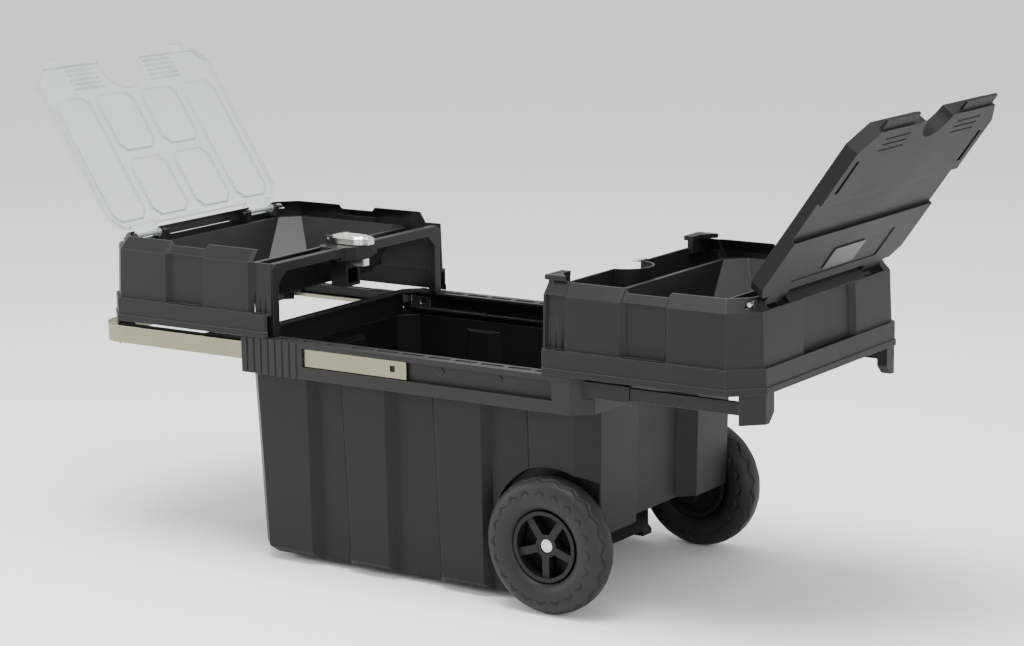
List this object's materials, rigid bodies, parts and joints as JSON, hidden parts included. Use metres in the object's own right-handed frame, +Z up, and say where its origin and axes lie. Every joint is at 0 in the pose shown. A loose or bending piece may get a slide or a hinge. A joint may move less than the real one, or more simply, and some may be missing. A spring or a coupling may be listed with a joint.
{
  "type": "rolling tool chest",
  "caption": "Wheeled moulded tool chest whose two lidded upper trays slide apart over a deep bin, with a pull-out handle and a central latch.",
  "frame": {"origin": "floor level under the middle of the bin", "axes": "+X along the chest towards the wheels, +Y across it, +Z up"},
  "size_m": [1.3297, 0.419, 0.6609],
  "materials": {
    "black_plastic": "fine-grained black moulded polypropylene",
    "tyre_plastic": "blow-moulded black tyre",
    "rubber": "black rubber",
    "clear_plastic": "clear moulded plastic",
    "band_metal": "brushed champagne band",
    "rail_steel": "black-coated slide steel",
    "zinc": "bright zinc",
    "axle_steel": "bright steel",
    "badge": "satin blank plate"
  },
  "bodies": {
    "chest": {"bin": "black_plastic", "skid_feet": "rubber", "rim_frame": "black_plastic", "fixed_rail_near": "rail_steel", "fixed_rail_far": "rail_steel", "rail_screws": "axle_steel", "axle": "axle_steel", "push_nut_near": "axle_steel", "push_nut_far": "axle_steel"},
    "left_tray": {"left_tray_shell": "black_plastic", "left_tray_arch": "black_plastic", "left_bowl": "black_plastic", "left_inner_rail_near": "rail_steel", "left_inner_rail_far": "rail_steel", "left_rail_tip_near": "zinc", "left_rail_tip_far": "zinc", "left_hinge_pin_near": "axle_steel", "left_hinge_pin_far": "axle_steel", "latch_pin": "axle_steel", "latch_housing": "black_plastic", "latch_hook": "zinc"},
    "right_tray": {"right_tray_shell": "black_plastic", "right_bowl": "black_plastic", "right_divider": "black_plastic", "right_inner_rail_near": "rail_steel", "right_inner_rail_far": "rail_steel", "right_rail_tip_near": "zinc", "right_rail_tip_far": "zinc", "right_hinge_pin_near": "axle_steel", "right_hinge_pin_far": "axle_steel", "latch_keeper": "zinc"},
    "left_mid_rails": {"left_mid_rail_near": "rail_steel", "left_mid_rail_far": "rail_steel"},
    "right_mid_rails": {"right_mid_rail_near": "rail_steel", "right_mid_rail_far": "rail_steel"},
    "clear_lid": {"clear_lid": "clear_plastic"},
    "black_lid": {"black_lid": "black_plastic", "badge_plate": "badge"},
    "latch_lever": {"latch_lever": "zinc"},
    "lock": {"lock_cylinder": "axle_steel"},
    "pull_handle": {"pull_handle": "band_metal", "handle_stop_near": "black_plastic", "handle_stop_far": "black_plastic"},
    "wheel_near": {"tyre_near": "tyre_plastic", "wheel_hub_near": "black_plastic"},
    "wheel_far": {"tyre_far": "tyre_plastic", "wheel_hub_far": "black_plastic"}
  },
  "joints": [
    {"name": "left_tray_slide", "type": "slide", "parent": "chest", "child": "left_tray", "axis": [1, 0, 0], "range_m": [0, 0.218]},
    {"name": "right_tray_slide", "type": "slide", "parent": "chest", "child": "right_tray", "axis": [-1, 0, 0], "range_m": [0, 0.218]},
    {"name": "left_mid_rail_slide", "type": "slide", "parent": "chest", "child": "left_mid_rails", "axis": [1, 0, 0], "range_m": [0, 0.109]},
    {"name": "right_mid_rail_slide", "type": "slide", "parent": "chest", "child": "right_mid_rails", "axis": [-1, 0, 0], "range_m": [0, 0.109]},
    {"name": "clear_lid_hinge", "type": "hinge", "parent": "left_tray", "child": "clear_lid", "pos_m": [-0.498, 0, 0.4215], "axis": [0, 1, 0], "range_deg": [0, 123.7]},
    {"name": "black_lid_hinge", "type": "hinge", "parent": "right_tray", "child": "black_lid", "pos_m": [0.498, 0, 0.4215], "axis": [0, -1, 0], "range_deg": [0, 126]},
    {"name": "latch_hinge", "type": "hinge", "parent": "left_tray", "child": "latch_lever", "pos_m": [-0.256, 0, 0.4195], "axis": [0, -1, 0], "range_deg": [0, 95]},
    {"name": "lock_turn", "type": "hinge", "parent": "latch_lever", "child": "lock", "pos_m": [-0.216, 0, 0.418], "axis": [0, 0, 1], "range_deg": [0, 90]},
    {"name": "handle_slide", "type": "slide", "parent": "chest", "child": "pull_handle", "axis": [-1, 0, 0], "range_m": [-0.008, 0.165]},
    {"name": "wheel_near_spin", "type": "hinge", "parent": "chest", "child": "wheel_near", "pos_m": [0.2175, -0.188, 0.089], "axis": [0, 1, 0], "continuous": true},
    {"name": "wheel_far_spin", "type": "hinge", "parent": "chest", "child": "wheel_far", "pos_m": [0.2175, 0.188, 0.089], "axis": [0, 1, 0], "continuous": true}
  ],
  "couplings": [
    {"joint": "left_mid_rail_slide", "follows": "left_tray_slide", "ratio": 0.5},
    {"joint": "right_mid_rail_slide", "follows": "right_tray_slide", "ratio": 0.5}
  ]
}
